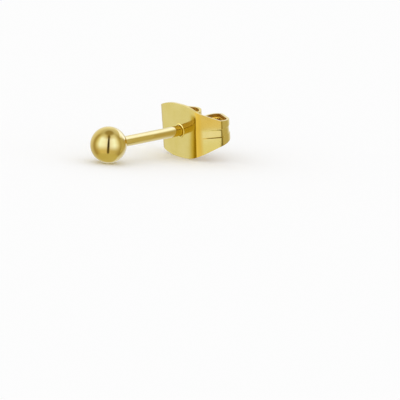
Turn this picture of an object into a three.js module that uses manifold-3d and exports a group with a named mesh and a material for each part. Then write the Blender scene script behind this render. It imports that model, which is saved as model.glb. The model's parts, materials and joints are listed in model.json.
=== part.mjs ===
// Stud earring: a polished ball soldered to a plain post, with a butterfly clutch pushed on from behind.
// It lies as it would by itself on a table, on the ball and on the lower edge of the clutch's plate.
// Millimetres, +Z up, ball towards -Y and clutch towards +Y. The clutch is the same on both sides of X = 0.
import * as THREE from "three";
import { mergeVertices } from "three/addons/utils/BufferGeometryUtils.js";
import Module from "manifold-3d";

// Ball and post
const BALL_DIAMETER = 3.0;
const POST_DIAMETER = 0.87;
const POST_LENGTH = 10.5; // back of the ball to the tip
const SOLDER_FILLET = 0.15; // radius of the solder at the post's root
const TIP_ROUND = 0.25; // radius of the edge of the tip
const ROUND_SIDES = 48;
const ARC_STEP = 7.5; // degrees between the points of a turned profile

// Clutch, bent from one strip of sheet
const SHEET = 0.26;
const PLATE_HALF_HEIGHT = 2.27;
const PLATE_FOOT = 0.35; // half the straight stretch in the middle of the plate's upper and lower edge
const BEND_STEP = 12; // degrees between the sections of a bend
const GRIP_HALF_GAP = 0.52; // middle of the post to the bend that holds it
const GROOVE_DEPTH = 0.1; // channel pressed along the middle of each wing
const GROOVE_FLOOR = 0.22; // half the width of its floor
const GROOVE_MOUTH = 0.34; // half the width of its mouth
const BORE_RADIUS = 0.5;
const RIM_RADIUS = 0.57; // the bore flares towards the ball, to lead the post in
const FLARE_DEPTH = 0.12;

// How the clutch sits on the post
const CLUTCH_PLACE = 7.43; // middle of the ball to the plate, along the post
const CLUTCH_COCK = 3.5; // degrees that the plate's upper edge leans to the ball

// Each wing from the middle of the plate to its tip, measured on the face that is outside when bent.
// A straight run has a length, and a bend a radius and a turn in degrees. At the end of the run, half is half
// the strip's height, lift how far its middle has climbed and groove the share of the channel's depth.
const PLATE = { length: 1.97, steps: 6, half: 1.98, lift: 0, groove: 0 };
const SHOULDER = { radius: 0.95, turn: 54, half: 1.65, lift: 0, groove: 0 };
const WALL_ROOT = { length: 0.3, steps: 2, half: 1.53, lift: 0, groove: 0.4 };
const OUTER_WALL = { length: 1.1, steps: 3, half: 1.07, lift: 0, groove: 0.6 };
const OUTER_ROLL = { radius: 0.77, turn: 104.5, half: 0.76, lift: 0.28, groove: 1 };
const GRIP_BEND = { radius: 0.88, turn: 150, half: 0.71, lift: 0.1, groove: 1 };
const BACK_WALL = { length: backWallLength(), steps: 3, half: 0.75, lift: 0.28, groove: 1 };
const WING = [PLATE, SHOULDER, WALL_ROOT, OUTER_WALL, OUTER_ROLL, BACK_WALL, GRIP_BEND];

const GOLD_POLISHED = new THREE.MeshStandardMaterial({ color: 0xd2ac50, roughness: 0.12, metalness: 1 });
const GOLD_PRESSED = new THREE.MeshStandardMaterial({ color: 0xd8ba62, roughness: 0.22, metalness: 1 });

const wasm = await Module();
wasm.setup();

// The back wall is as long as it takes to bring the grip bend up to the post.
function backWallLength() {
  const shoulderTurn = THREE.MathUtils.degToRad(SHOULDER.turn);
  const heading = THREE.MathUtils.degToRad(SHOULDER.turn + OUTER_ROLL.turn);
  const wall = WALL_ROOT.length + OUTER_WALL.length;
  const rollStart = PLATE.length + SHOULDER.radius * Math.sin(shoulderTurn) + wall * Math.cos(shoulderTurn);
  const rollEnd = rollStart + OUTER_ROLL.radius * (Math.sin(heading) - Math.sin(shoulderTurn));
  const gripStart = GRIP_HALF_GAP + GRIP_BEND.radius * (1 + Math.sin(heading));
  return (gripStart - rollEnd) / Math.cos(heading);
}

// A closed geometry as a solid that can be joined and cut
function solidOf(geometry) {
  const bare = geometry.clone();
  bare.deleteAttribute("normal");
  bare.deleteAttribute("uv");
  const merged = mergeVertices(bare);
  const vertProperties = merged.attributes.position.array;
  const triVerts = new Uint32Array(merged.index.array);
  return new wasm.Manifold(new wasm.Mesh({ numProp: 3, vertProperties, triVerts }));
}

// A solid back as a geometry with flat faces
function geometryOf(solid) {
  const { vertProperties, triVerts } = solid.getMesh();
  const shared = new THREE.BufferGeometry();
  shared.setAttribute("position", new THREE.BufferAttribute(vertProperties, 3));
  shared.setIndex(new THREE.BufferAttribute(triVerts, 1));
  const flat = shared.toNonIndexed();
  flat.computeVertexNormals();
  return flat;
}

// Points of an arc in a turned profile, from one angle to another in degrees
function arc(centreX, centreY, radius, from, to) {
  const steps = Math.max(2, Math.round(Math.abs(to - from) / ARC_STEP));
  const points = [];
  for (let i = 0; i <= steps; i += 1) {
    const angle = THREE.MathUtils.degToRad(from + ((to - from) * i) / steps);
    points.push(new THREE.Vector2(centreX + radius * Math.cos(angle), centreY + radius * Math.sin(angle)));
  }
  return points;
}

// Ball and post turned about the post's axis, one solid once they are soldered
function ballPost() {
  const ballRadius = BALL_DIAMETER / 2;
  const postRadius = POST_DIAMETER / 2;
  const tip = ballRadius + POST_LENGTH;
  const filletX = postRadius + SOLDER_FILLET;
  const filletY = Math.sqrt((ballRadius + SOLDER_FILLET) ** 2 - filletX ** 2);
  const filletAngle = THREE.MathUtils.radToDeg(Math.atan2(filletY, filletX));
  const ball = arc(0, 0, ballRadius, -90, filletAngle);
  ball[0].x = 0;
  const fillet = arc(filletX, filletY, SOLDER_FILLET, filletAngle + 180, 180);
  const end = arc(postRadius - TIP_ROUND, tip - TIP_ROUND, TIP_ROUND, 0, 90);
  const profile = [...ball, ...fillet.slice(1), ...end, new THREE.Vector2(0, tip)];
  const mesh = new THREE.Mesh(new THREE.LatheGeometry(profile, ROUND_SIDES), GOLD_POLISHED);
  mesh.name = "ball_post";
  return mesh;
}

// Half the plate's height at a share of the way from its middle to the shoulder
function plateHalf(share) {
  const foot = PLATE_FOOT / PLATE.length;
  const past = Math.max(0, (share - foot) / (1 - foot));
  return PLATE_HALF_HEIGHT + (PLATE.half - PLATE_HALF_HEIGHT) * past ** 2;
}

// How far a bend carries the strip sideways and back
function bendOffset(radius, from, to) {
  return { along: radius * (Math.sin(to) - Math.sin(from)), back: radius * (Math.cos(from) - Math.cos(to)) };
}

// The same for a straight run
function straightOffset(length, heading) {
  return { along: length * Math.cos(heading), back: length * Math.sin(heading) };
}

// Sections of the right-hand wing: a point on the outer face, the way the strip runs there, its half height,
// the climb of its middle and the share of the channel's depth
function wingSections() {
  const sections = [{ x: 0, y: 0, heading: 0, half: PLATE_HALF_HEIGHT, lift: 0, groove: 0 }];
  for (const run of WING) {
    const start = sections.at(-1);
    const steps = run.steps ?? Math.ceil(run.turn / BEND_STEP);
    for (let i = 1; i <= steps; i += 1) {
      const share = i / steps;
      const heading = start.heading + THREE.MathUtils.degToRad((run.turn ?? 0) * share);
      const offset = run.radius
        ? bendOffset(run.radius, start.heading, heading)
        : straightOffset(run.length * share, heading);
      const half = run === PLATE ? plateHalf(share) : THREE.MathUtils.lerp(start.half, run.half, share);
      const lift = THREE.MathUtils.lerp(start.lift, run.lift, share);
      const groove = THREE.MathUtils.lerp(start.groove, run.groove, share);
      sections.push({ x: start.x + offset.along, y: start.y + offset.back, heading, half, lift, groove });
    }
  }
  return sections;
}

// Closed strip through sections laid from one tip to the other, each with rows of points on both faces
function stripGeometry(sections) {
  const positions = [];
  const index = [];
  for (const { x, y, inX, inY, half, lift, groove } of sections) {
    const pressed = groove * GROOVE_DEPTH;
    const row = (height, press) => ({ height: lift + height, press });
    const lower = [row(-half, 0), row(-GROOVE_MOUTH, 0), row(-GROOVE_FLOOR, pressed)];
    const upper = [row(GROOVE_FLOOR, pressed), row(GROOVE_MOUTH, 0), row(half, 0)];
    for (const depth of [0, SHEET]) {
      for (const { height, press } of [...lower, ...upper]) {
        const inward = depth + press;
        positions.push(x + inX * inward, y + inY * inward, height);
      }
    }
  }
  const rows = 6;
  const last = sections.length - 1;
  const outer = (section, row) => section * 2 * rows + row;
  const inner = (section, row) => outer(section, row) + rows;
  const quad = (a, b, c, d) => index.push(a, b, c, a, c, d);
  for (let s = 0; s < last; s += 1) {
    for (let r = 0; r < rows - 1; r += 1) {
      quad(outer(s, r), outer(s + 1, r), outer(s + 1, r + 1), outer(s, r + 1));
      quad(inner(s, r), inner(s, r + 1), inner(s + 1, r + 1), inner(s + 1, r));
    }
    quad(outer(s, rows - 1), outer(s + 1, rows - 1), inner(s + 1, rows - 1), inner(s, rows - 1));
    quad(outer(s, 0), inner(s, 0), inner(s + 1, 0), outer(s + 1, 0));
  }
  for (let r = 0; r < rows - 1; r += 1) {
    quad(outer(0, r), outer(0, r + 1), inner(0, r + 1), inner(0, r));
    quad(outer(last, r), inner(last, r), inner(last, r + 1), outer(last, r + 1));
  }
  const strip = new THREE.BufferGeometry();
  strip.setAttribute("position", new THREE.Float32BufferAttribute(positions, 3));
  strip.setIndex(index);
  return strip;
}

// Flared bore through the middle of the plate
function boreGeometry() {
  const past = SHEET / 2;
  const mouth = RIM_RADIUS + ((RIM_RADIUS - BORE_RADIUS) * past) / FLARE_DEPTH;
  const profile = [
    new THREE.Vector2(0, -past),
    new THREE.Vector2(mouth, -past),
    new THREE.Vector2(BORE_RADIUS, FLARE_DEPTH),
    new THREE.Vector2(BORE_RADIUS, SHEET + past),
    new THREE.Vector2(0, SHEET + past),
  ];
  return new THREE.LatheGeometry(profile, ROUND_SIDES / 2);
}

// Clutch with its plate in the plane Y = 0 and the bore at the origin
function butterflyClutch() {
  const wing = wingSections();
  const side = (mirror) => ({ x, y, heading, half, lift, groove }) => ({
    x: mirror * x,
    y,
    inX: -mirror * Math.sin(heading),
    inY: Math.cos(heading),
    half,
    lift,
    groove,
  });
  const left = wing.slice(1).reverse().map(side(-1));
  const right = wing.map(side(1));
  const solid = solidOf(stripGeometry([...left, ...right])).subtract(solidOf(boreGeometry()));
  const mesh = new THREE.Mesh(geometryOf(solid), GOLD_PRESSED);
  mesh.name = "butterfly_clutch";
  return mesh;
}

// Put together: the post rises to the clutch until the ball and the plate's lower edge share one floor.
const cock = THREE.MathUtils.degToRad(CLUTCH_COCK);
const footAlong = CLUTCH_PLACE + PLATE_HALF_HEIGHT * Math.sin(cock);
const footBelow = PLATE_HALF_HEIGHT * Math.cos(cock);
const footReach = Math.hypot(footAlong, footBelow);
const rise = Math.atan2(footBelow, footAlong) - Math.asin(BALL_DIAMETER / 2 / footReach);

const clutch = butterflyClutch();
clutch.position.y = CLUTCH_PLACE;
clutch.rotation.x = cock;

const lying = new THREE.Group();
lying.add(ballPost(), clutch);
lying.rotation.x = rise;

const earring = new THREE.Group();
earring.add(lying);
const box = new THREE.Box3().setFromObject(earring, true);
const middle = box.getCenter(new THREE.Vector3());
lying.position.set(-middle.x, -middle.y, -box.min.z);

export default earring;
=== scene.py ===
# Gold stud earring lying on a pale table: a ball soldered to a post, with a butterfly clutch behind it.
import json
import math

import bmesh
import bpy
from mathutils import Matrix, Vector


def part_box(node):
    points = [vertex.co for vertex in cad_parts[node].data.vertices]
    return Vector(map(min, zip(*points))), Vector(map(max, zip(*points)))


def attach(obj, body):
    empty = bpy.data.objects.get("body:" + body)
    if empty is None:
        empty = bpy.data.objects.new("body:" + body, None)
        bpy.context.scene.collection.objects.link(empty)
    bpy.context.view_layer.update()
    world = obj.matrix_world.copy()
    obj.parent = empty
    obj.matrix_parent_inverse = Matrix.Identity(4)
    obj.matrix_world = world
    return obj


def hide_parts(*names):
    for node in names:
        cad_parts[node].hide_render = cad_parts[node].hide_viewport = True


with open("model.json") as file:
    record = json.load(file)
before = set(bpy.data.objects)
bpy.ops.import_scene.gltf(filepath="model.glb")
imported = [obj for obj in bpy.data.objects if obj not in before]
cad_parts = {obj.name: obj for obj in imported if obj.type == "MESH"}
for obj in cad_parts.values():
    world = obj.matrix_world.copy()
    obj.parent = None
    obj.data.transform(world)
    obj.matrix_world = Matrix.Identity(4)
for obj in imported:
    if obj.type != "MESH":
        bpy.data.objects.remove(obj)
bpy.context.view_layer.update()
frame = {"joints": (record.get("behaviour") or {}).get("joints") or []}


# Ball and post
# A solid gold-plated ball, polished all over, with a straight drawn wire soldered to its back as the post.
# The solder leaves a small fillet at the root, and the free end of the wire is rounded to pass the ear.
MM = 0.001
CUT_EXACT = 0.0001 * MM  # points this near a cut count as on it
CUT_REACH = 0.001 * MM  # faces this near the cut belong to it
BALL_RADIUS = 1.5 * MM
POST_RADIUS = 0.435 * MM
POST_TIP = 12.0 * MM  # middle of the ball to the tip
FILLET_RADIUS = 0.07 * MM
TIP_ROUND = 0.25 * MM
BALL_SEGMENTS = 96
FILLET_STEPS = 6
TIP_STEPS = 8

slide = frame["joints"][0]
post_axis = Vector(slide["axis"]).normalized()
lowest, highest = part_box("ball_post")
ball_middle = Vector((0, lowest.y + BALL_RADIUS, BALL_RADIUS))
post_turn = Matrix.Rotation(math.atan2(post_axis.z, post_axis.y) - math.pi / 2, 4, "X")


def edit(piece):
    """Opens one piece for modelling, with nothing selected in it"""
    bpy.ops.object.select_all(action="DESELECT")
    piece.select_set(True)
    bpy.context.view_layer.objects.active = piece
    bpy.ops.object.mode_set(mode="EDIT")
    bpy.ops.mesh.select_all(action="DESELECT")


def select_where(piece, parts, test):
    """Selects the open piece's verts, edges or faces that pass the test"""
    mesh = bmesh.from_edit_mesh(piece.data)
    mesh.select_mode = {parts[:-1].upper()}
    for part in getattr(mesh, parts):
        part.select_set(test(part))
    mesh.select_flush_mode()
    bmesh.update_edit_mesh(piece.data)


def settle(piece, turn, place):
    """Turns and moves a modelled piece to its place, and leaves its object at the origin"""
    bpy.ops.object.mode_set(mode="OBJECT")
    piece.matrix_world = Matrix.Translation(place) @ turn
    bpy.ops.object.transform_apply(location=True, rotation=True, scale=True)


def apply_modifier(piece, name, kind, **settings):
    """Adds a modifier with these settings and applies it"""
    modifier = piece.modifiers.new(name, kind)
    for setting, value in settings.items():
        setattr(modifier, setting, value)
    bpy.ops.object.modifier_apply(modifier=name)


def even_normals(piece):
    """Shades by the largest faces, at a size where their areas can be told apart"""
    for size in (1 / MM, MM):
        piece.scale = (size, size, size)
        bpy.ops.object.transform_apply(location=True, rotation=True, scale=True)
        if size > 1:
            apply_modifier(piece, "even_normals", "WEIGHTED_NORMAL", weight=100, keep_sharp=True)


def draw_out(radius, height):
    """Pulls the selected round end on to a new radius and height"""
    global end_radius, end_height
    bpy.ops.mesh.extrude_region_move(TRANSFORM_OT_translate={"value": (0, 0, height - end_height)})
    share = radius / end_radius
    bpy.ops.transform.resize(value=(share, share, 1), center_override=(0, 0, 0))
    end_radius, end_height = radius, height


bpy.ops.object.select_all(action="DESELECT")
bpy.ops.mesh.primitive_uv_sphere_add(
    segments=BALL_SEGMENTS, ring_count=BALL_SEGMENTS // 2, radius=BALL_RADIUS
)
ball_post = bpy.context.object
ball_post.name = "polished_ball_and_post"

fillet_across = POST_RADIUS + FILLET_RADIUS
fillet_up = math.sqrt((BALL_RADIUS + FILLET_RADIUS) ** 2 - fillet_across ** 2)
fillet_angle = math.atan2(fillet_up, fillet_across)
end_radius = BALL_RADIUS * math.cos(fillet_angle)
end_height = BALL_RADIUS * math.sin(fillet_angle)
edit(ball_post)
bpy.ops.mesh.select_all(action="SELECT")
bpy.ops.mesh.bisect(
    plane_co=(0, 0, end_height), plane_no=(0, 0, 1), use_fill=True, clear_outer=True, threshold=CUT_EXACT
)
select_where(ball_post, "faces", lambda face: face.calc_center_median().z > end_height - CUT_REACH)
for step in range(1, FILLET_STEPS + 1):
    angle = math.pi + fillet_angle * (1 - step / FILLET_STEPS)
    draw_out(fillet_across + FILLET_RADIUS * math.cos(angle), fillet_up + FILLET_RADIUS * math.sin(angle))
draw_out(POST_RADIUS, POST_TIP - TIP_ROUND)
for step in range(1, TIP_STEPS + 1):
    angle = math.pi / 2 * step / TIP_STEPS
    round_radius = POST_RADIUS - TIP_ROUND + TIP_ROUND * math.cos(angle)
    draw_out(round_radius, POST_TIP - TIP_ROUND + TIP_ROUND * math.sin(angle))
bpy.ops.mesh.select_all(action="SELECT")
bpy.ops.mesh.normals_make_consistent(inside=False)
settle(ball_post, post_turn, ball_middle)
bpy.ops.object.shade_smooth()
even_normals(ball_post)


def new_group(name, inputs, outputs):
    """An empty shader group with these sockets, and its two end nodes"""
    group = bpy.data.node_groups.new(name, "ShaderNodeTree")
    for socket, kind in inputs.items():
        group.interface.new_socket(socket, in_out="INPUT", socket_type="NodeSocket" + kind)
    for socket, kind in outputs.items():
        group.interface.new_socket(socket, in_out="OUTPUT", socket_type="NodeSocket" + kind)
    return group, group.nodes.new("NodeGroupInput"), group.nodes.new("NodeGroupOutput")


def add_node(tree, kind, values=None, **settings):
    """Adds a node, with settings on the node and values on its sockets"""
    node = tree.nodes.new("ShaderNode" + kind)
    for setting, value in settings.items():
        setattr(node, setting, value)
    for socket, value in (values or {}).items():
        node.inputs[socket].default_value = value
    return node


# Plating tone: soft patches of paler and deeper gold, as a thin bath leaves them
plating, inside, outside = new_group(
    "plating_tone",
    {"Vector": "Vector", "Patches": "Float", "Pale": "Color", "Deep": "Color"},
    {"Color": "Color", "Patch": "Float"},
)
patches = add_node(plating, "TexNoise", {"Detail": 3.0, "Roughness": 0.55})
patch_range = add_node(plating, "MapRange", {"From Min": 0.3, "From Max": 0.7})
tone = add_node(plating, "Mix", data_type="RGBA")
plating.links.new(inside.outputs["Vector"], patches.inputs["Vector"])
plating.links.new(inside.outputs["Patches"], patches.inputs["Scale"])
plating.links.new(patches.outputs["Fac"], patch_range.inputs["Value"])
plating.links.new(patch_range.outputs["Result"], tone.inputs[0])
plating.links.new(inside.outputs["Pale"], tone.inputs[6])
plating.links.new(inside.outputs["Deep"], tone.inputs[7])
plating.links.new(tone.outputs[2], outside.inputs["Color"])
plating.links.new(patch_range.outputs["Result"], outside.inputs["Patch"])

# Fine lines: hairline marks that follow the way the metal was drawn, rolled or wiped
fine_lines, inside, outside = new_group(
    "fine_lines",
    {"Vector": "Vector", "Stretch": "Vector"},
    {"Lines": "Float", "Height": "Float"},
)
stretched = add_node(fine_lines, "VectorMath", operation="MULTIPLY")
broad_lines = add_node(fine_lines, "TexNoise", {"Scale": 1.0, "Detail": 4.0, "Roughness": 0.65})
thin_lines = add_node(fine_lines, "TexNoise", {"Scale": 3.7, "Detail": 2.0, "Roughness": 0.5})
thin_range = add_node(fine_lines, "MapRange", {"From Min": 0.56, "From Max": 0.72})
line_sum = add_node(fine_lines, "Math", operation="ADD", use_clamp=True)
line_share = add_node(fine_lines, "Math", {1: 0.5}, operation="MULTIPLY")
fine_lines.links.new(inside.outputs["Vector"], stretched.inputs[0])
fine_lines.links.new(inside.outputs["Stretch"], stretched.inputs[1])
fine_lines.links.new(stretched.outputs["Vector"], broad_lines.inputs["Vector"])
fine_lines.links.new(stretched.outputs["Vector"], thin_lines.inputs["Vector"])
fine_lines.links.new(thin_lines.outputs["Fac"], thin_range.inputs["Value"])
fine_lines.links.new(broad_lines.outputs["Fac"], line_share.inputs[0])
fine_lines.links.new(line_share.outputs["Value"], line_sum.inputs[0])
fine_lines.links.new(thin_range.outputs["Result"], line_sum.inputs[1])
fine_lines.links.new(line_sum.outputs["Value"], outside.inputs["Lines"])
fine_lines.links.new(broad_lines.outputs["Fac"], outside.inputs["Height"])

GOLD_PALE = (0.88, 0.69, 0.22, 1)
GOLD_DEEP = (0.83, 0.63, 0.17, 1)
GOLD_PATCHES = 900  # per metre
SOLDER_TONE = (0.80, 0.62, 0.24, 1)
SOLDER_SHARE = 0.6
SOLDER_BALL_END = (1.36 * MM, 1.46 * MM)  # middle of the ball to where the solder starts and is full
SOLDER_POST_END = (1.72 * MM, 1.5 * MM)  # and to where it ends and is full
WIRE_STRETCH = (9000, 9000, 500)
SCUFF_START = 11.2 * MM
POLISH_ROUGH = 0.05
WIRE_ROUGH = 0.035
SOLDER_ROUGH = 0.12
SCUFF_ROUGH = 0.10
WIRE_DEPTH = 0.002 * MM


def new_metal(name):
    """A metal material's tree with its Principled shader"""
    material = bpy.data.materials.new(name)
    material.use_nodes = True
    shader = material.node_tree.nodes["Principled BSDF"]
    shader.inputs["Metallic"].default_value = 1.0
    return material, material.node_tree, shader


polished_gold, tree, shader = new_metal("polished_gold")
place = add_node(tree, "TexCoord")
along_post = add_node(tree, "Mapping", vector_type="TEXTURE")
along_post.inputs["Location"].default_value = ball_middle
along_post.inputs["Rotation"].default_value = post_turn.to_euler()
split = add_node(tree, "SeparateXYZ")
tree.links.new(place.outputs["Object"], along_post.inputs["Vector"])
tree.links.new(along_post.outputs["Vector"], split.inputs["Vector"])
tone = add_node(tree, "Group", node_tree=plating)
tone.inputs["Patches"].default_value = GOLD_PATCHES
tone.inputs["Pale"].default_value = GOLD_PALE
tone.inputs["Deep"].default_value = GOLD_DEEP
tree.links.new(along_post.outputs["Vector"], tone.inputs["Vector"])

# The solder at the root is a little greyer and duller than the plating round it
post_side, ball_side = (
    add_node(tree, "MapRange", {"From Min": edge, "From Max": full}, interpolation_type="SMOOTHSTEP")
    for edge, full in (SOLDER_POST_END, SOLDER_BALL_END)
)
solder = add_node(tree, "Math", operation="MULTIPLY")
solder_share = add_node(tree, "Math", {1: SOLDER_SHARE}, operation="MULTIPLY")
soldered = add_node(tree, "Mix", data_type="RGBA")
soldered.inputs[7].default_value = SOLDER_TONE
tree.links.new(split.outputs["Z"], post_side.inputs["Value"])
tree.links.new(split.outputs["Z"], ball_side.inputs["Value"])
tree.links.new(post_side.outputs["Result"], solder.inputs[0])
tree.links.new(ball_side.outputs["Result"], solder.inputs[1])
tree.links.new(solder.outputs["Value"], solder_share.inputs[0])
tree.links.new(solder_share.outputs["Value"], soldered.inputs[0])
tree.links.new(tone.outputs["Color"], soldered.inputs[6])
tree.links.new(soldered.outputs[2], shader.inputs["Base Color"])

# Hairlines run along the drawn wire, and the tip is scuffed where it is pushed through the clutch
wire_lines = add_node(tree, "Group", node_tree=fine_lines)
wire_lines.inputs["Stretch"].default_value = WIRE_STRETCH
tree.links.new(along_post.outputs["Vector"], wire_lines.inputs["Vector"])
scuff_limits = {"From Min": SCUFF_START, "From Max": POST_TIP, "To Max": SCUFF_ROUGH}
tip_scuff = add_node(tree, "MapRange", scuff_limits)
line_rough = add_node(tree, "Math", {1: WIRE_ROUGH}, operation="MULTIPLY")
rough = add_node(tree, "Math", {1: POLISH_ROUGH}, operation="ADD")
solder_rough = add_node(tree, "Math", {1: SOLDER_ROUGH}, operation="MULTIPLY_ADD")
rough_sum = add_node(tree, "Math", operation="ADD")
tree.links.new(wire_lines.outputs["Lines"], line_rough.inputs[0])
tree.links.new(line_rough.outputs["Value"], rough.inputs[0])
tree.links.new(solder.outputs["Value"], solder_rough.inputs[0])
tree.links.new(rough.outputs["Value"], solder_rough.inputs[2])
tree.links.new(split.outputs["Z"], tip_scuff.inputs["Value"])
tree.links.new(solder_rough.outputs["Value"], rough_sum.inputs[0])
tree.links.new(tip_scuff.outputs["Result"], rough_sum.inputs[1])
tree.links.new(rough_sum.outputs["Value"], shader.inputs["Roughness"])
wire_bump = add_node(tree, "Bump", {"Strength": 0.15, "Distance": WIRE_DEPTH})
tree.links.new(wire_lines.outputs["Height"], wire_bump.inputs["Height"])
tree.links.new(wire_bump.outputs["Normal"], shader.inputs["Normal"])

ball_post.data.materials.append(polished_gold)
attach(ball_post, "stud")
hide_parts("ball_post")


# Butterfly clutch
# One strip of rolled gold-plated sheet: a lens-shaped plate with the post's hole, and two wings rolled
# back into scrolls that grip the post between them. A channel pressed along each wing stiffens it.
SHEET = 0.21 * MM
PLATE_HALF = 2.27 * MM
PLATE_FOOT = 0.35 * MM  # half the straight stretch of the plate's upper and lower edge
PLATE_LENGTH = 1.97 * MM
PLATE_END_HALF = 1.98 * MM
EASE_START = 1.0 * MM  # from here on the plate eases into the shoulder, by so much at its end
PLATE_EASE = math.radians(4)
# half is half the strip's height at the end of the run, lift how far its middle has climbed, and press the
# share of the channel's depth
SHOULDER = {"radius": 0.95 * MM, "turn": 50.0, "half": 1.65 * MM, "lift": 0.0, "press": 0.2}
WALL_ROOT = {"length": 0.3 * MM, "steps": 4, "half": 1.53 * MM, "lift": 0.0, "press": 0.28}
OUTER_WALL = {"length": 1.1 * MM, "steps": 8, "half": 1.07 * MM, "lift": 0.0, "press": 0.45}
OUTER_ROLL = {"radius": 0.77 * MM, "turn": 104.5, "half": 0.76 * MM, "lift": 0.28 * MM, "press": 1.0}
BACK_WALL = {"steps": 8, "half": 0.75 * MM, "lift": 0.28 * MM, "press": 1.0}
GRIP_BEND = {"radius": 0.88 * MM, "turn": 150.0, "half": 0.71 * MM, "lift": 0.1 * MM, "press": 1.0}
GRIP_START = 0.8 * MM  # behind the plate's face, and within so far of the middle, edges count as inside
GRIP_END = 2.3 * MM
GRIP_HALF_GAP = 0.52 * MM  # middle of the post to the bend that holds it
PLATE_STEPS = 20
BEND_STEP = 5.0  # degrees
# height and depth of the channel, in millimetres
GROOVE_ROWS = {0.37: 0.0, 0.34: 0.012, 0.31: 0.05, 0.28: 0.068, 0.24: 0.075}
BORE_RADIUS = 0.47 * MM
LIP_RADIUS = 0.54 * MM  # middle of the rounded lip that the punch raised round the hole
LIP_ROUND = 0.07 * MM
LIP_SUNK = 0.02 * MM
EDGE_ROUND = 0.085 * MM
CLUTCH_PLACE = 7.43 * MM  # middle of the ball to the plate, along the post
CLUTCH_COCK = math.radians(3.5)

hole_middle = ball_middle + post_axis * CLUTCH_PLACE
clutch_turn = Matrix.Rotation(math.atan2(post_axis.z, post_axis.y) + CLUTCH_COCK, 4, "X")

bpy.ops.object.select_all(action="DESELECT")
bpy.ops.mesh.primitive_plane_add(size=1, rotation=(math.pi / 2, 0, 0), location=(PLATE_FOOT / 2, 0, 0))
clutch = bpy.context.object
clutch.name = "butterfly_back"
clutch.scale = (PLATE_FOOT, 2 * PLATE_HALF, 1)
bpy.ops.object.transform_apply(location=True, rotation=True, scale=True)

# Lines along the strip, for the channel
edit(clutch)
for height in GROOVE_ROWS:
    for side in (-1, 1):
        bpy.ops.mesh.select_all(action="SELECT")
        bpy.ops.mesh.bisect(plane_co=(0, 0, side * height * MM), plane_no=(0, 0, 1), threshold=CUT_EXACT)
groove_depths = [depth * MM for depth in GROOVE_ROWS.values()]
row_depths = [0.0, *groove_depths, *reversed(groove_depths), 0.0]
select_where(clutch, "edges", lambda edge: min(v.co.x for v in edge.verts) > PLATE_FOOT * 0.99)
end = {"across": PLATE_FOOT, "back": 0.0, "heading": 0.0, "half": PLATE_HALF, "lift": 0.0, "press": 0.0}


def carry_on(**here):
    """Extrudes the strip's end to a new section, turns it there, and sets its height and channel"""
    grow = {name: here[name] - end[name] for name in end}
    move = (grow["across"], grow["back"], grow["lift"])
    bpy.ops.mesh.extrude_region_move(TRANSFORM_OT_translate={"value": move})
    if grow["heading"]:
        pivot = (here["across"], here["back"], 0)
        bpy.ops.transform.rotate(value=-grow["heading"], orient_axis="Z", center_override=pivot)
    points = [v for v in bmesh.from_edit_mesh(clutch.data).verts if v.select]
    rows = [v.index for v in sorted(points, key=lambda v: v.co.z)]
    for row, way in ((rows[0], -1), (rows[-1], 1)):
        select_where(clutch, "verts", lambda v: v.index == row)
        bpy.ops.transform.translate(value=(0, 0, way * grow["half"]))
    if grow["press"]:
        for row, depth in zip(rows, row_depths):
            if depth:
                inward = depth * grow["press"]
                select_where(clutch, "verts", lambda v: v.index == row)
                bpy.ops.transform.translate(
                    value=(-inward * math.sin(here["heading"]), inward * math.cos(here["heading"]), 0)
                )
    select_where(clutch, "verts", lambda v: v.index in rows)
    end.update(here)


def blended(start, share, goal):
    """Height, climb and channel at a share of a run"""
    return {name: start[name] + (goal[name] - start[name]) * share for name in ("half", "lift", "press")}


def straight(length, steps, **goal):
    """Carries the strip straight on"""
    start = dict(end)
    heading = start["heading"]
    for step in range(1, steps + 1):
        run = length * step / steps
        across = start["across"] + run * math.cos(heading)
        back = start["back"] + run * math.sin(heading)
        carry_on(across=across, back=back, heading=heading, **blended(start, step / steps, goal))


def bend(radius, turn, **goal):
    """Carries the strip round a bend towards the back"""
    start = dict(end)
    steps = math.ceil(turn / BEND_STEP)
    for step in range(1, steps + 1):
        heading = start["heading"] + math.radians(turn) * step / steps
        across = start["across"] + radius * (math.sin(heading) - math.sin(start["heading"]))
        back = start["back"] + radius * (math.cos(start["heading"]) - math.cos(heading))
        carry_on(across=across, back=back, heading=heading, **blended(start, step / steps, goal))


for step in range(1, PLATE_STEPS + 1):
    share = step / PLATE_STEPS
    across = PLATE_FOOT + (PLATE_LENGTH - PLATE_FOOT) * share
    half = PLATE_HALF + (PLATE_END_HALF - PLATE_HALF) * share ** 2
    eased = max(0.0, (across - EASE_START) / (PLATE_LENGTH - EASE_START))
    back = PLATE_EASE * (PLATE_LENGTH - EASE_START) * eased ** 3 / 3
    carry_on(across=across, back=back, heading=PLATE_EASE * eased ** 2, half=half, lift=0.0, press=0.0)
bend(**SHOULDER)
straight(**WALL_ROOT)
straight(**OUTER_WALL)
bend(**OUTER_ROLL)
grip_start = GRIP_HALF_GAP + GRIP_BEND["radius"] * (1 + math.sin(end["heading"]))
straight((grip_start - end["across"]) / math.cos(end["heading"]), **BACK_WALL)
bend(**GRIP_BEND)

# The strip's face towards the ear and the outside of its bends is the outer one
bpy.ops.mesh.select_all(action="SELECT")
bpy.ops.mesh.normals_make_consistent(inside=False)
plate_face = bmesh.from_edit_mesh(clutch.data).faces
plate_face.ensure_lookup_table()
if plate_face[0].normal.y > 0:
    bpy.ops.mesh.flip_normals()
bpy.ops.object.mode_set(mode="OBJECT")
apply_modifier(clutch, "other_wing", "MIRROR", use_axis=(True, False, False), merge_threshold=1e-6)

for _ in range(3):
    bpy.ops.object.material_slot_add()
apply_modifier(
    clutch,
    "sheet",
    "SOLIDIFY",
    thickness=SHEET,
    offset=-1.0,
    use_even_offset=True,
    material_offset=1,
    material_offset_rim=0,
)

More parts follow.
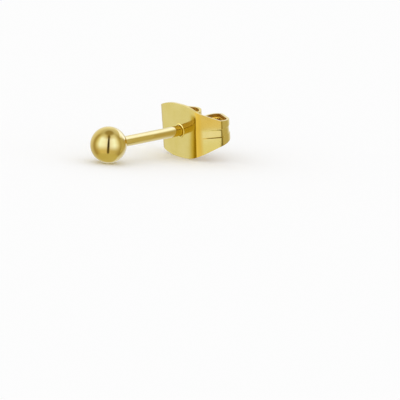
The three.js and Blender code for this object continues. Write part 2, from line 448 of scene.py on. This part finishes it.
# Bore: a cylinder as the punch
bpy.ops.object.select_all(action="DESELECT")
bpy.ops.mesh.primitive_cylinder_add(
    vertices=64, radius=BORE_RADIUS, depth=4 * SHEET, rotation=(math.pi / 2, 0, 0), location=(0, 0, 0)
)
punch = bpy.context.object
bpy.ops.object.transform_apply(location=True, rotation=True, scale=True)
bpy.ops.object.select_all(action="DESELECT")
clutch.select_set(True)
bpy.context.view_layer.objects.active = clutch
apply_modifier(clutch, "bore", "BOOLEAN", object=punch, operation="DIFFERENCE", solver="EXACT")
bpy.data.objects.remove(punch)
apply_modifier(
    clutch,
    "tumbled_edges",
    "BEVEL",
    width=EDGE_ROUND,
    segments=4,
    material=2,
    limit_method="ANGLE",
    angle_limit=math.radians(45),
    use_clamp_overlap=True,
)

# Lip: a ring round the hole, joined to the plate
bpy.ops.object.select_all(action="DESELECT")
bpy.ops.mesh.primitive_torus_add(
    major_radius=LIP_RADIUS,
    minor_radius=LIP_ROUND,
    major_segments=64,
    minor_segments=24,
    rotation=(math.pi / 2, 0, 0),
    location=(0, LIP_SUNK, 0),
)
lip = bpy.context.object
bpy.ops.object.transform_apply(location=True, rotation=True, scale=True)
bpy.ops.object.select_all(action="DESELECT")
clutch.select_set(True)
bpy.context.view_layer.objects.active = clutch
apply_modifier(clutch, "lip", "BOOLEAN", object=lip, operation="UNION", solver="EXACT")
bpy.data.objects.remove(lip)

# The rounding gets a painted highlight in paler gold, and is rougher where the sheet rubs: points that only
# its faces share. The lip's front gets the same painted highlight.
# The inside of the scrolls gets a painted shade in deeper orange-brown, and no polish.
faces = clutch.data.polygons
flat_points = {p for face in faces if face.material_index != 2 for p in face.vertices}
worn_and_highlit = clutch.data.attributes.new("edge_wear_and_painted_highlight", "FLOAT", "POINT")
within = clutch.data.attributes.new("inner_face", "FLOAT", "POINT")
for face in faces:
    for point in face.vertices:
        if face.material_index == 2 and point not in flat_points:
            worn_and_highlit.data[point].value = 1.0
        if face.material_index == 1:
            within.data[point].value = 1.0
for point in clutch.data.vertices:
    if point.co.y < -LIP_SUNK / 4:
        worn_and_highlit.data[point.index].value = 1.0
    if point.co.y > GRIP_START and abs(point.co.x) < GRIP_END and worn_and_highlit.data[point.index].value:
        worn_and_highlit.data[point.index].value = 0.0
        within.data[point.index].value = 1.0
for face in faces:
    face.material_index = 0
clutch.data.materials.clear()
settle(clutch, clutch_turn, hole_middle)
bpy.ops.object.shade_smooth_by_angle(angle=math.radians(38))
even_normals(clutch)

PRESSED_PALE = (0.88, 0.70, 0.24, 1)
PRESSED_DEEP = (0.83, 0.64, 0.18, 1)
# Painted highlight: paler gold for the sheet's rounded edges and the hole's lip
EDGE_PAINTED_HIGHLIGHT = (1.0, 0.86, 0.34, 1)
# Painted shade: deeper orange-brown for the inside of the scrolls
INNER_PAINTED_SHADE = (0.70, 0.46, 0.11, 1)
PRESSED_PATCHES = 700  # per metre
WEAR_AND_HIGHLIGHT_BREAKS = 2600
ROLLING_STRETCH = (350, 350, 11000)
SHEET_ROUGH = 0.09
ROLLING_ROUGH = 0.07
WEAR_ROUGH = 0.06
INNER_ROUGH = 0.35
ROLLING_DEPTH = 0.002 * MM

pressed_gold, tree, shader = new_metal("pressed_gold")
place = add_node(tree, "TexCoord")
on_clutch = add_node(tree, "Mapping", vector_type="TEXTURE")
on_clutch.inputs["Location"].default_value = hole_middle
on_clutch.inputs["Rotation"].default_value = clutch_turn.to_euler()
tree.links.new(place.outputs["Object"], on_clutch.inputs["Vector"])
tone = add_node(tree, "Group", node_tree=plating)
tone.inputs["Patches"].default_value = PRESSED_PATCHES
tone.inputs["Pale"].default_value = PRESSED_PALE
tone.inputs["Deep"].default_value = PRESSED_DEEP
tree.links.new(on_clutch.outputs["Vector"], tone.inputs["Vector"])
# Painted highlight on the rounded edges and the lip, broken up by noise; the same share makes them rougher
wear_and_highlight = add_node(tree, "Attribute", attribute_name="edge_wear_and_painted_highlight")
wear_and_highlight_break = add_node(tree, "TexNoise", {"Scale": WEAR_AND_HIGHLIGHT_BREAKS, "Detail": 3.0})
wear_and_highlight_range = add_node(tree, "MapRange", {"From Min": 0.35, "From Max": 0.65, "To Min": 0.6, "To Max": 1.0})
wear_and_highlight_share = add_node(tree, "Math", operation="MULTIPLY", use_clamp=True)
edge_highlight_mix = add_node(tree, "Mix", data_type="RGBA")
edge_highlight_mix.inputs[7].default_value = EDGE_PAINTED_HIGHLIGHT
tree.links.new(on_clutch.outputs["Vector"], wear_and_highlight_break.inputs["Vector"])
tree.links.new(wear_and_highlight_break.outputs["Fac"], wear_and_highlight_range.inputs["Value"])
tree.links.new(wear_and_highlight.outputs["Fac"], wear_and_highlight_share.inputs[0])
tree.links.new(wear_and_highlight_range.outputs["Result"], wear_and_highlight_share.inputs[1])
tree.links.new(wear_and_highlight_share.outputs["Value"], edge_highlight_mix.inputs[0])
# Painted shade inside the scrolls, which are also made rougher
inner = add_node(tree, "Attribute", attribute_name="inner_face")
inner_shade_mix = add_node(tree, "Mix", data_type="RGBA")
inner_shade_mix.inputs[7].default_value = INNER_PAINTED_SHADE
tree.links.new(inner.outputs["Fac"], inner_shade_mix.inputs[0])
tree.links.new(tone.outputs["Color"], inner_shade_mix.inputs[6])
tree.links.new(inner_shade_mix.outputs[2], edge_highlight_mix.inputs[6])
tree.links.new(edge_highlight_mix.outputs[2], shader.inputs["Base Color"])

# Rolling marks run along the strip, round its bends
rolling = add_node(tree, "Group", node_tree=fine_lines)
rolling.inputs["Stretch"].default_value = ROLLING_STRETCH
tree.links.new(on_clutch.outputs["Vector"], rolling.inputs["Vector"])
line_rough = add_node(tree, "Math", {1: ROLLING_ROUGH}, operation="MULTIPLY")
rough = add_node(tree, "Math", {1: SHEET_ROUGH}, operation="ADD")
wear_rough = add_node(tree, "Math", {1: WEAR_ROUGH}, operation="MULTIPLY_ADD")
tree.links.new(rolling.outputs["Lines"], line_rough.inputs[0])
tree.links.new(line_rough.outputs["Value"], rough.inputs[0])
tree.links.new(wear_and_highlight_share.outputs["Value"], wear_rough.inputs[0])
tree.links.new(rough.outputs["Value"], wear_rough.inputs[2])
inner_rough = add_node(tree, "Math", {1: INNER_ROUGH}, operation="MULTIPLY_ADD")
tree.links.new(inner.outputs["Fac"], inner_rough.inputs[0])
tree.links.new(wear_rough.outputs["Value"], inner_rough.inputs[2])
tree.links.new(inner_rough.outputs["Value"], shader.inputs["Roughness"])
sheet_bump = add_node(tree, "Bump", {"Strength": 0.2, "Distance": ROLLING_DEPTH})
tree.links.new(rolling.outputs["Height"], sheet_bump.inputs["Height"])
tree.links.new(sheet_bump.outputs["Normal"], shader.inputs["Normal"])

clutch.data.materials.append(pressed_gold)
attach(clutch, "clutch")
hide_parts("butterfly_clutch")


# Table
# A plain white matt board that the earring lies on. The metal mirrors the tent and its cards, not the board.
TABLE_SIZE = 2.0
TABLE_GAP = 0.002 * MM
TABLE_TONE = (0.96, 0.96, 0.96, 1)

bpy.ops.object.select_all(action="DESELECT")
bpy.ops.mesh.primitive_plane_add(size=TABLE_SIZE, location=(0, 0, -TABLE_GAP))
table = bpy.context.object
table.name = "table"
table.visible_glossy = False
board = bpy.data.materials.new("white_board")
board.use_nodes = True
board_shader = board.node_tree.nodes["Principled BSDF"]
board_shader.inputs["Base Color"].default_value = TABLE_TONE
board_shader.inputs["Roughness"].default_value = 0.9
board_shader.inputs["Specular IOR Level"].default_value = 0.0
table.data.materials.append(board)


# Light tent
# An even white dome lights the table. The metal mirrors two soft panels either side of the camera, the dark
# slit between them, darker sides, a bright back, and a dim ceiling.
CAMERA_AZIMUTH = math.radians(50.21)
CAMERA_ELEVATION = math.radians(9.67)
CAMERA_ROLL = math.radians(3.76)
# Each ring of the tent goes round from behind the object by its left, the camera and its right, in degrees
HIGH_RING = {
    -180: (0.66, 0.66, 0.72),
    -100: (0.58, 0.57, 0.52),
    -45: (0.74, 0.72, 0.66),
    -24: (0.62, 0.56, 0.44),
    -12: (0.36, 0.28, 0.12),
    -4: (0.16, 0.12, 0.03),
    4: (0.16, 0.12, 0.03),
    12: (0.40, 0.33, 0.16),
    24: (0.74, 0.74, 0.78),
    60: (0.78, 0.80, 0.90),
    88: (0.58, 0.57, 0.54),
    120: (0.64, 0.64, 0.70),
    180: (0.66, 0.66, 0.72),
}
PANEL_RING = {
    -180: (0.95, 1.00, 1.15),
    -122: (0.74, 0.72, 0.68),
    -104: (0.44, 0.36, 0.21),
    -92: (0.48, 0.42, 0.24),
    -75: (0.84, 0.86, 0.84),
    -56: (1.10, 1.36, 2.40),
    -30: (1.08, 1.28, 2.20),
    -10: (0.98, 1.06, 1.60),
    -4: (0.05, 0.04, 0.01),
    4: (0.05, 0.04, 0.01),
    10: (0.98, 1.06, 1.70),
    40: (1.14, 1.42, 2.70),
    60: (0.94, 1.02, 1.45),
    77: (0.58, 0.54, 0.42),
    92: (0.42, 0.36, 0.24),
    106: (0.60, 0.57, 0.50),
    125: (0.78, 0.80, 0.95),
    180: (0.95, 1.00, 1.15),
}
SKIRT_RING = {
    -180: (0.72, 0.74, 0.80),
    -125: (0.62, 0.60, 0.52),
    -100: (0.42, 0.34, 0.20),
    -84: (0.48, 0.40, 0.24),
    -50: (0.74, 0.68, 0.48),
    -12: (0.72, 0.64, 0.48),
    -4: (0.12, 0.09, 0.02),
    4: (0.12, 0.09, 0.02),
    12: (0.66, 0.60, 0.45),
    50: (0.62, 0.57, 0.42),
    90: (0.38, 0.32, 0.19),
    112: (0.52, 0.49, 0.38),
    140: (0.70, 0.72, 0.80),
    180: (0.72, 0.74, 0.80),
}
CAP = (0.36, 0.30, 0.17, 1)
# What is mirrored a second time sees a dimmer tent, by the sine of its elevation
DEEP_TONES = {
    0.20: (0.60, 0.55, 0.17),
    0.28: (0.56, 0.48, 0.13),
    0.33: (0.16, 0.09, 0.0),
    0.42: (0.16, 0.09, 0.0),
    0.50: (0.76, 0.68, 0.34),
    0.70: (0.48, 0.41, 0.17),
}
UNDER = (0.60, 0.56, 0.35, 1)
DOME = (1.02, 1.02, 1.02, 1)
# Elevations in degrees between which one ring gives way to the next
SKIRT_FADE = (-56, -40)
PANEL_FADE = (-34, 8)
HIGH_FADE = (36, 66)
CAP_FADE = (62, 80)
TWICE = 1.5  # glossy depths past this are mirrored a second time
DEEP_SHARE = 0.9

tent = bpy.data.worlds.new("light_tent")
tent.use_nodes = True
tent.cycles.sampling_method = "NONE"
bpy.context.scene.world = tent
tree = tent.node_tree
dome = tree.nodes["Background"]
direction = add_node(tree, "TexCoord")
facing = add_node(tree, "Mapping", vector_type="VECTOR")
facing.inputs["Rotation"].default_value = (0, 0, -CAMERA_AZIMUTH)
split = add_node(tree, "SeparateXYZ")
towards = add_node(tree, "Math", {1: -1.0}, operation="MULTIPLY")
round_angle = add_node(tree, "Math", operation="ARCTAN2")
round_degrees = add_node(tree, "Math", operation="DEGREES")
tree.links.new(direction.outputs["Generated"], facing.inputs["Vector"])
tree.links.new(facing.outputs["Vector"], split.inputs["Vector"])
tree.links.new(split.outputs["Y"], towards.inputs[0])
tree.links.new(split.outputs["X"], round_angle.inputs[0])
tree.links.new(towards.outputs["Value"], round_angle.inputs[1])
tree.links.new(round_angle.outputs["Value"], round_degrees.inputs[0])


def graded(tree, value, stops):
    """Colours that blend into one another along a value, from the first stop to the last"""
    first, *_, last = stops
    share = add_node(tree, "MapRange", {"From Min": first, "From Max": last})
    ramp = add_node(tree, "ValToRGB")
    elements = ramp.color_ramp.elements
    for place in list(stops)[1:-1]:
        elements.new((place - first) / (last - first))
    for element, colour in zip(elements, stops.values()):
        element.color = (*colour, 1)
    tree.links.new(value, share.inputs["Value"])
    tree.links.new(share.outputs["Result"], ramp.inputs["Fac"])
    return ramp.outputs["Color"]


def faded(tree, value, start, stop, first, last):
    """One colour that fades into another along a value"""
    limits = {"From Min": start, "From Max": stop}
    share = add_node(tree, "MapRange", limits, interpolation_type="SMOOTHSTEP")
    mix = add_node(tree, "Mix", data_type="RGBA")
    tree.links.new(value, share.inputs["Value"])
    tree.links.new(share.outputs["Result"], mix.inputs[0])
    for socket, colour in ((6, first), (7, last)):
        if isinstance(colour, tuple):
            mix.inputs[socket].default_value = colour
        else:
            tree.links.new(colour, mix.inputs[socket])
    return mix.outputs[2]


def heights(elevations):
    """Heights on the tent of some elevations in degrees"""
    return [math.sin(math.radians(elevation)) for elevation in elevations]


height = split.outputs["Z"]
skirt, panel, high = (
    graded(tree, round_degrees.outputs["Value"], ring) for ring in (SKIRT_RING, PANEL_RING, HIGH_RING)
)
mirrored = faded(tree, height, *heights(SKIRT_FADE), UNDER, skirt)
mirrored = faded(tree, height, *heights(PANEL_FADE), mirrored, panel)
mirrored = faded(tree, height, *heights(HIGH_FADE), mirrored, high)
mirrored = faded(tree, height, *heights(CAP_FADE), mirrored, CAP)
light_path = add_node(tree, "LightPath")
seen = add_node(tree, "Mix", data_type="RGBA")
seen.inputs[6].default_value = DOME
tree.links.new(light_path.outputs["Is Glossy Ray"], seen.inputs[0])
twice = add_node(tree, "Math", {1: TWICE}, operation="GREATER_THAN")
twice_share = add_node(tree, "Math", {1: DEEP_SHARE}, operation="MULTIPLY")
dimmed = add_node(tree, "Mix", data_type="RGBA")
tree.links.new(graded(tree, height, DEEP_TONES), dimmed.inputs[7])
tree.links.new(light_path.outputs["Glossy Depth"], twice.inputs[0])
tree.links.new(twice.outputs["Value"], twice_share.inputs[0])
tree.links.new(twice_share.outputs["Value"], dimmed.inputs[0])
tree.links.new(mirrored, dimmed.inputs[6])
tree.links.new(dimmed.outputs[2], seen.inputs[7])
tree.links.new(seen.outputs[2], dome.inputs["Color"])

# Five toned cards stand close to the stud, each clear from behind and clear to what is mirrored twice: one
# in front of the clutch, one beside its outer roll, one at its side, one round the post that keeps the far
# plate out of it, and a strip above the post. Places on them are in millimetres.
FRONT_CARD = {"left": -14.0, "right": 14.0, "low": -6.0, "high": 11.0, "along": 0.2}
FRONT_SLANT = 0.36
SHOULDER_FADE = (2.6, 3.0)  # heights between which the dark line at the plate's end goes out
WALL_FADE = (2.8, 6.0)  # from the shoulder's tones to the wall's
TOP_FADE = (3.5, 3.9)  # heights where the card turns bright for the sheet's upper edge
CHANNEL_FADE = (3.8, 4.1)
CHANNEL_END = (7.6, 8.6)
CHANNEL_REACH = (4.0, 5.0)
FRONT_TONES = {
    -1.9: (0.80, 0.85, 0.90),
    -1.65: (0.78, 0.82, 0.82),
    -1.25: (0.64, 0.58, 0.24),
    -0.8: (0.58, 0.46, 0.10),
    -0.55: (0.30, 0.20, 0.0),
    0.3: (0.28, 0.18, 0.0),
    0.65: (0.94, 0.78, 0.32),
    1.3: (0.92, 0.76, 0.31),
    2.2: (0.86, 0.72, 0.34),
    3.4: (0.83, 0.73, 0.46),
}
FRONT_HIGH_TONES = {
    -1.9: (0.80, 0.85, 0.90),
    -0.6: (0.84, 0.84, 0.72),
    0.65: (0.94, 0.80, 0.36),
    1.3: (0.92, 0.76, 0.31),
    2.2: (0.86, 0.72, 0.34),
    3.4: (0.83, 0.73, 0.46),
}
WALL_SLANT = 0.23
WALL_TONES = {
    0.6: (0.86, 0.90, 0.85),
    1.1: (0.87, 0.93, 0.99),
    1.70: (0.87, 0.93, 0.99),
    1.80: (0.93, 0.99, 1.22),
    2.42: (0.93, 0.99, 1.22),
    2.50: (0.76, 0.74, 0.68),
    2.75: (0.84, 0.76, 0.55),
    3.2: (0.85, 0.75, 0.52),
}
FRONT_TOP = (2.0, 2.0, 1.3, 1)
CHANNEL_SIDE = (0.15, 0.11, 0.03, 1)
ROLL_CARD = {"left": 5.25, "right": 60.0, "low": -16.0, "high": 8.0, "along": 2.75}
ROLL_TONES = {
    0.0: (0.24, 0.21, 0.10),
    1.6: (0.24, 0.21, 0.10),
    2.1: (0.40, 0.33, 0.12),
    3.0: (0.40, 0.32, 0.10),
}
ROLL_FADE = (8.0, 11.0)
ROLL_REST = (0.58, 0.53, 0.38, 1)
SIDE_CARD = {"left": 3.4, "right": 16.0, "low": -6.0, "high": 9.0, "along": 9.0}
SIDE_TONE = (0.56, 0.52, 0.37, 1)
POST_CARD = {"left": -3.75, "right": 3.75, "low": -9.0, "high": 5.7, "along": 1.75}
POST_CARD_HOLE = 0.76
POST_CARD_EDGE = 0.10
POST_STRIP = {"left": -3.0, "right": 3.0, "low": -2.3, "high": 1.2, "along": 4.8}
# What the post mirrors goes round it from its far side by below, the camera and above, in degrees
POST_TONES = {
    -180: (0.74, 0.72, 0.55),
    -135: (0.84, 0.90, 1.20),
    -75: (0.74, 0.80, 1.15),
    -48: (0.62, 0.59, 0.58),
    -25: (0.52, 0.45, 0.28),
    17: (0.50, 0.43, 0.25),
    38: (0.56, 0.54, 0.55),
    56: (1.05, 1.20, 2.00),
    73: (1.30, 1.50, 3.10),
    100: (1.20, 1.40, 2.80),
    130: (0.92, 1.02, 1.50),
    156: (0.80, 0.84, 0.90),
    180: (0.74, 0.72, 0.55),
}


def add_card(name, faces, left, right, low, high, along):
    """A card that glows to one side only: its tree, place in it, and sockets for its tone and for a hole"""
    bpy.ops.object.select_all(action="DESELECT")
    across, up = (left + right) / 2, (low + high) / 2
    middle, turn = {
        "back": ((across, along, up), (-math.pi / 2, 0, 0)),
        "front": ((across, along, up), (math.pi / 2, 0, 0)),
        "down": ((across, up, along), (math.pi, 0, 0)),
        "left": ((along, across, up), (math.pi / 2, 0, -math.pi / 2)),
    }[faces]
    bpy.ops.mesh.primitive_plane_add(size=1, rotation=turn, location=Vector(middle) * MM)
    card = bpy.context.object
    card.name = name
    card.scale = ((right - left) * MM, (high - low) * MM, 1)
    bpy.ops.object.transform_apply(location=True, rotation=True, scale=True)
    card.visible_camera = False
    card.visible_diffuse = False
    card.visible_shadow = False
    paper = bpy.data.materials.new(name)
    paper.use_nodes = True
    tree = paper.node_tree
    place = add_node(tree, "TexCoord")
    in_mm = add_node(tree, "VectorMath", {"Scale": 1 / MM}, operation="SCALE")
    ray = add_node(tree, "LightPath")
    side = add_node(tree, "NewGeometry")
    mirrored_twice = add_node(tree, "Math", {1: TWICE}, operation="GREATER_THAN")
    clear_share = add_node(tree, "Math", operation="MAXIMUM")
    open_share = add_node(tree, "Math", {1: 0.0}, operation="MAXIMUM")
    glow = add_node(tree, "Emission")
    clear = add_node(tree, "BsdfTransparent")
    paper_side = add_node(tree, "MixShader")
    tree.links.new(place.outputs["Object"], in_mm.inputs[0])
    tree.links.new(ray.outputs["Glossy Depth"], mirrored_twice.inputs[0])
    tree.links.new(side.outputs["Backfacing"], clear_share.inputs[0])
    tree.links.new(mirrored_twice.outputs["Value"], clear_share.inputs[1])
    tree.links.new(clear_share.outputs["Value"], open_share.inputs[0])
    tree.links.new(open_share.outputs["Value"], paper_side.inputs[0])
    tree.links.new(glow.outputs["Emission"], paper_side.inputs[1])
    tree.links.new(clear.outputs["BSDF"], paper_side.inputs[2])
    tree.links.new(paper_side.outputs["Shader"], tree.nodes["Material Output"].inputs["Surface"])
    card.data.materials.append(paper)
    return tree, in_mm.outputs["Vector"], glow.inputs["Color"], open_share.inputs[1]


def slanted(tree, place, direction):
    """How far a place lies along a direction"""
    along = add_node(tree, "VectorMath", {1: direction}, operation="DOT_PRODUCT")
    tree.links.new(place, along.inputs[0])
    return along.outputs["Value"]


# In front of the clutch: the plate's tone, a dark line at its end, an orange shoulder, bands for the wall
tree, place, tone_socket, _ = add_card("front_card", "back", **FRONT_CARD)
card_across = slanted(tree, place, (1, 0, 0))
card_height = slanted(tree, place, (0, 0, 1))
shoulder_place = slanted(tree, place, (1, 0, -FRONT_SLANT))
wall_height = slanted(tree, place, (WALL_SLANT, 0, 1))
low_tone = graded(tree, shoulder_place, FRONT_TONES)
high_tone = graded(tree, shoulder_place, FRONT_HIGH_TONES)
shoulder_tone = faded(tree, card_height, *SHOULDER_FADE, low_tone, high_tone)
toned = faded(tree, card_across, *WALL_FADE, shoulder_tone, graded(tree, wall_height, WALL_TONES))
beside = faded(tree, wall_height, *CHANNEL_END, CHANNEL_SIDE, FRONT_TOP)
beside = faded(tree, wall_height, *CHANNEL_FADE, toned, beside)
above = faded(tree, card_height, *TOP_FADE, toned, FRONT_TOP)
tree.links.new(faded(tree, card_across, *CHANNEL_REACH, above, beside), tone_socket)

tree, place, tone_socket, _ = add_card("roll_card", "back", **ROLL_CARD)
roll_tone = graded(tree, slanted(tree, place, (0, 0, 1)), ROLL_TONES)
tree.links.new(faded(tree, slanted(tree, place, (1, 0, 0)), *ROLL_FADE, roll_tone, ROLL_REST), tone_socket)

_, _, tone_socket, _ = add_card("side_card", "left", **SIDE_CARD)
tone_socket.default_value = SIDE_TONE


def round_the_post(tree, place):
    """How far a place is from the post's line, and the tone for its angle round it"""
    post_up = post_axis.cross(Vector((-1, 0, 0)))
    from_ball = add_node(tree, "VectorMath", {1: ball_middle / MM}, operation="SUBTRACT")
    tree.links.new(place, from_ball.inputs[0])
    up = slanted(tree, from_ball.outputs["Vector"], post_up)
    across = slanted(tree, from_ball.outputs["Vector"], (1, 0, 0))
    angle = add_node(tree, "Math", operation="ARCTAN2")
    degrees = add_node(tree, "Math", operation="DEGREES")
    off_post = add_node(tree, "CombineXYZ")
    distance = add_node(tree, "VectorMath", operation="LENGTH")
    tree.links.new(up, angle.inputs[0])
    tree.links.new(across, angle.inputs[1])
    tree.links.new(angle.outputs["Value"], degrees.inputs[0])
    tree.links.new(across, off_post.inputs["X"])
    tree.links.new(up, off_post.inputs["Z"])
    tree.links.new(off_post.outputs["Vector"], distance.inputs[0])
    return distance.outputs["Value"], graded(tree, degrees.outputs["Value"], POST_TONES)


# Round the post, with a hole for it to pass, and a strip above it
tree, place, tone_socket, hole_socket = add_card("post_card", "front", **POST_CARD)
distance, toned = round_the_post(tree, place)
hole = add_node(
    tree,
    "MapRange",
    {"From Min": POST_CARD_HOLE + POST_CARD_EDGE, "From Max": POST_CARD_HOLE},
    interpolation_type="SMOOTHSTEP",
)
tree.links.new(distance, hole.inputs["Value"])
tree.links.new(hole.outputs["Result"], hole_socket)
tree.links.new(toned, tone_socket)

tree, place, tone_socket, _ = add_card("post_strip", "down", **POST_STRIP)
_, toned = round_the_post(tree, place)
tree.links.new(toned, tone_socket)


# Camera
# A long lens from the ball's side, a little above the table and tilted to the left.
PIXELS = 400
PIXELS_PER_MM = 12.27
BALL_AND_HOLE_PIXEL = (144.2, 137.6)  # point halfway from the ball to the clutch's hole
CAMERA_DISTANCE = 400 * MM
SENSOR = 36.0

back = Vector(
    (
        math.sin(CAMERA_AZIMUTH) * math.cos(CAMERA_ELEVATION),
        -math.cos(CAMERA_AZIMUTH) * math.cos(CAMERA_ELEVATION),
        math.sin(CAMERA_ELEVATION),
    )
)
level_right = Vector((math.cos(CAMERA_AZIMUTH), math.sin(CAMERA_AZIMUTH), 0))
level_up = back.cross(level_right)
right = level_right * math.cos(CAMERA_ROLL) + level_up * math.sin(CAMERA_ROLL)
up = level_up * math.cos(CAMERA_ROLL) - level_right * math.sin(CAMERA_ROLL)
halfway = (ball_middle + hole_middle) / 2
off_right = (PIXELS / 2 - BALL_AND_HOLE_PIXEL[0]) / PIXELS_PER_MM * MM
off_down = (PIXELS / 2 - BALL_AND_HOLE_PIXEL[1]) / PIXELS_PER_MM * MM
aim = halfway + right * off_right - up * off_down

lens = bpy.data.cameras.new("long_lens")
lens.sensor_width = SENSOR
lens.lens = SENSOR * CAMERA_DISTANCE / (PIXELS / PIXELS_PER_MM * MM)
lens.clip_start = 0.01
lens.clip_end = 5.0
camera = bpy.data.objects.new("camera", lens)
bpy.context.scene.collection.objects.link(camera)
camera.location = halfway + back * CAMERA_DISTANCE
away = (camera.location - aim).normalized()
across = up.cross(away).normalized()
camera.matrix_world = Matrix.Translation(camera.location) @ Matrix(
    (across, away.cross(across), away)
).transposed().to_4x4()
bpy.context.scene.camera = camera
bpy.context.scene.view_settings.view_transform = "Standard"
bpy.context.scene.view_settings.look = "None"
